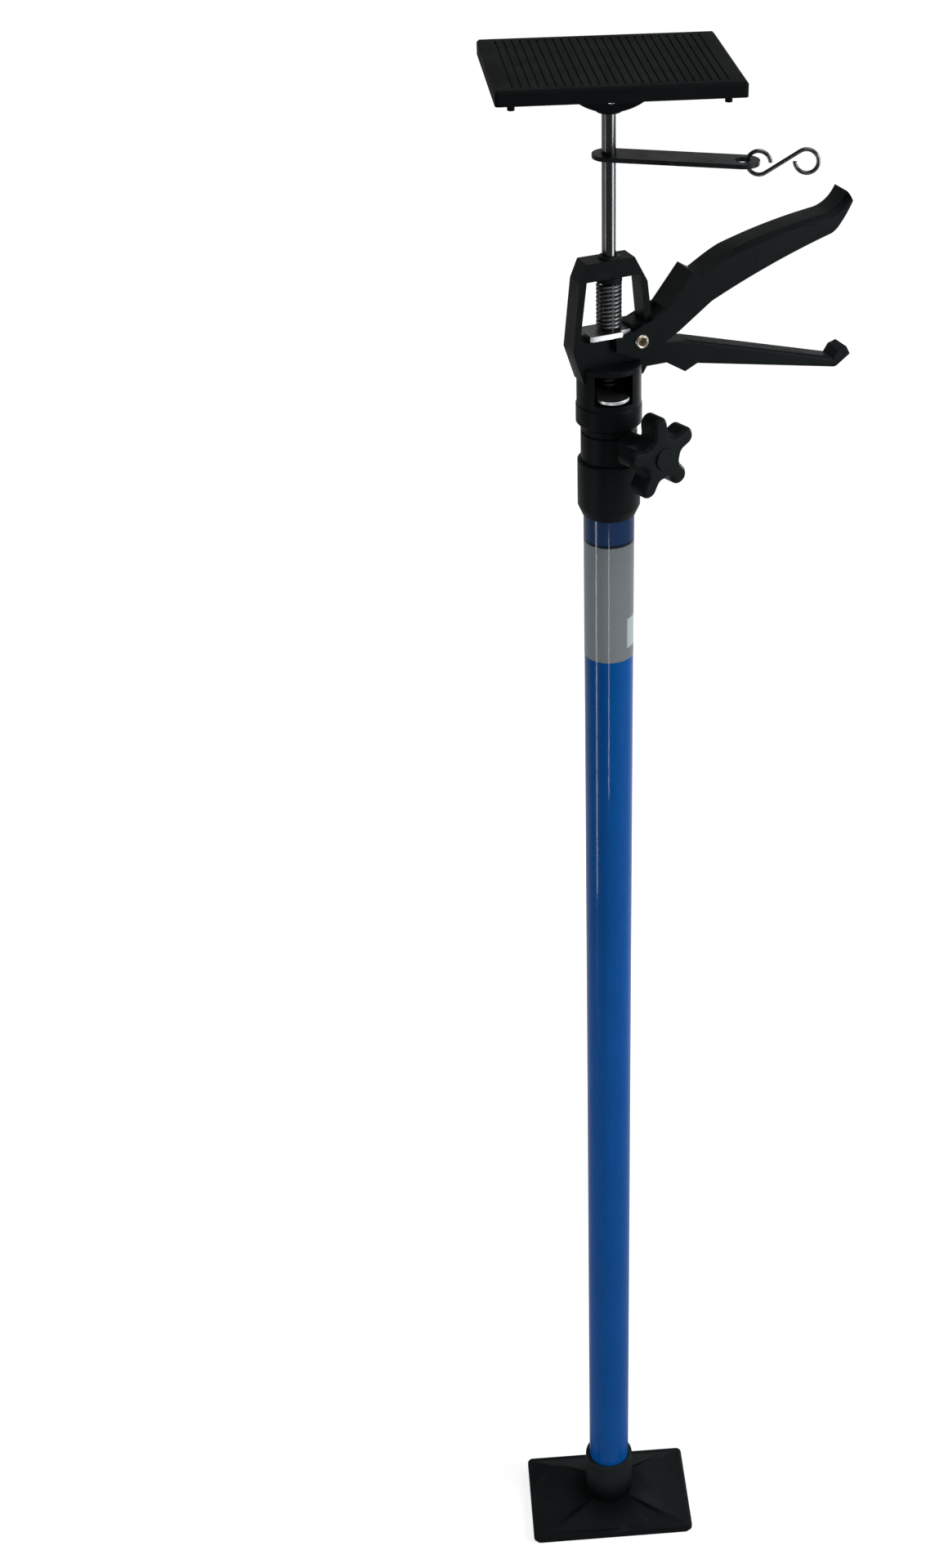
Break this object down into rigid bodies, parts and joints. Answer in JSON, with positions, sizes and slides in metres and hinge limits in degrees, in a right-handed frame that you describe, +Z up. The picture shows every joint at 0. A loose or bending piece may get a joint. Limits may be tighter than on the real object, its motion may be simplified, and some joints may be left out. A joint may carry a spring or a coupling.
{
  "type": "telescopic prop",
  "caption": "Telescopic support prop with a creased floor foot, clamped sliding tube, squeeze-handle jacking head, hanging hook and tilting ribbed top plate.",
  "frame": {"origin": "on the tube axis, at the underside of the foot's rubber sole", "axes": "+Z up along the tube, +X along the long side of the foot and of the top plate, +Y away from the side where the foot's near edge and the brake plate's front face"},
  "size_m": [0.2174, 0.1156, 1.13],
  "materials": {
    "black_plastic": "moulded, fine satin grain",
    "black_rubber": "ribbed, matt",
    "blue_paint": "gloss powder coat",
    "zinc_tube": "zinc plated",
    "bright_steel": "bright drawn",
    "spring_steel": "bright zinc",
    "dark_steel": "dark grey coat",
    "bright_wire": "bright plated",
    "brass": "turned",
    "grey_nylon": "plain moulded"
  },
  "bodies": {
    "base": {"foot_sole": "black_rubber", "foot_plate": "black_plastic", "outer_tube": "blue_paint", "clamp_collar": "black_plastic", "clamp_insert": "brass"},
    "bush": {"guide_bush": "grey_nylon"},
    "head": {"inner_tube": "zinc_tube", "pump_body": "black_plastic", "body_rivet": "bright_steel", "rod_guide": "grey_nylon", "pivot_pin": "bright_steel", "drive_spring": "spring_steel", "brake_spring": "spring_steel"},
    "trigger": {"trigger": "black_plastic"},
    "drive": {"drive_plate": "bright_steel"},
    "brake": {"brake_plate": "bright_steel"},
    "rod": {"lift_rod": "bright_steel", "rod_clip": "bright_steel", "hanger_bar": "dark_steel"},
    "hook": {"s_hook": "bright_wire"},
    "hub": {"swivel_hub": "black_plastic", "hub_keeper": "bright_steel"},
    "top": {"top_plate": "black_plastic", "tilt_pin": "bright_steel", "top_pad": "black_rubber"},
    "pad": {"clamp_pad": "brass"},
    "knob": {"clamp_knob": "black_plastic", "clamp_stud": "bright_steel"}
  },
  "joints": [
    {"name": "tube_slide", "type": "slide", "parent": "base", "child": "bush", "axis": [0, 0, 1], "range_m": [0, 0.6]},
    {"name": "head_swivel", "type": "hinge", "parent": "bush", "child": "head", "pos_m": [0, 0, 0.24], "axis": [0, 0, 1], "continuous": true},
    {"name": "trigger_squeeze", "type": "hinge", "parent": "head", "child": "trigger", "pos_m": [0.01504, 0.00547, 0.973], "axis": [-0.342, 0.9397, 0], "range_deg": [0, 24], "stiffness_Nm_per_rad": 1, "springref_deg": -17.19},
    {"name": "drive_lift", "type": "slide", "parent": "head", "child": "drive", "axis": [0, 0, 1], "range_m": [0, 0.0067], "deforming": ["drive_spring"]},
    {"name": "brake_release", "type": "hinge", "parent": "head", "child": "brake", "pos_m": [-0.00112, 0.01275, 0.94501], "axis": [-0.9962, -0.0872, 0], "range_deg": [0, 7], "stiffness_Nm_per_rad": 0.3, "springref_deg": -17.19, "deforming": ["brake_spring"]},
    {"name": "rod_lift", "type": "slide", "parent": "head", "child": "rod", "axis": [0, 0, 1], "range_m": [-0.045, 0.12]},
    {"name": "hook_swing", "type": "hinge", "parent": "rod", "child": "hook", "pos_m": [0.07892, -0.02115, 1.079], "axis": [0.2588, 0.9659, 0], "range_deg": [-40, 105]},
    {"name": "hub_swivel", "type": "hinge", "parent": "rod", "child": "hub", "pos_m": [0, 0, 1.106], "axis": [0, 0, 1], "continuous": true},
    {"name": "plate_tilt", "type": "hinge", "parent": "hub", "child": "top", "pos_m": [0, 0, 1.1135], "axis": [-0.0436, 0.999, 0], "range_deg": [-25, 25]},
    {"name": "pad_travel", "type": "slide", "parent": "base", "child": "pad", "axis": [0.5878, -0.809, 0], "range_m": [0, 0.0025]},
    {"name": "knob_turn", "type": "hinge", "parent": "pad", "child": "knob", "pos_m": [0.01763, -0.02427, 0.916], "axis": [0.5878, -0.809, 0], "range_deg": [0, 720.5]}
  ],
  "couplings": [
    {"joint": "drive_lift", "follows": "trigger_squeeze", "m_per_rad": 0.016},
    {"joint": "knob_turn", "follows": "pad_travel", "rad_per_m": 5026.5}
  ]
}
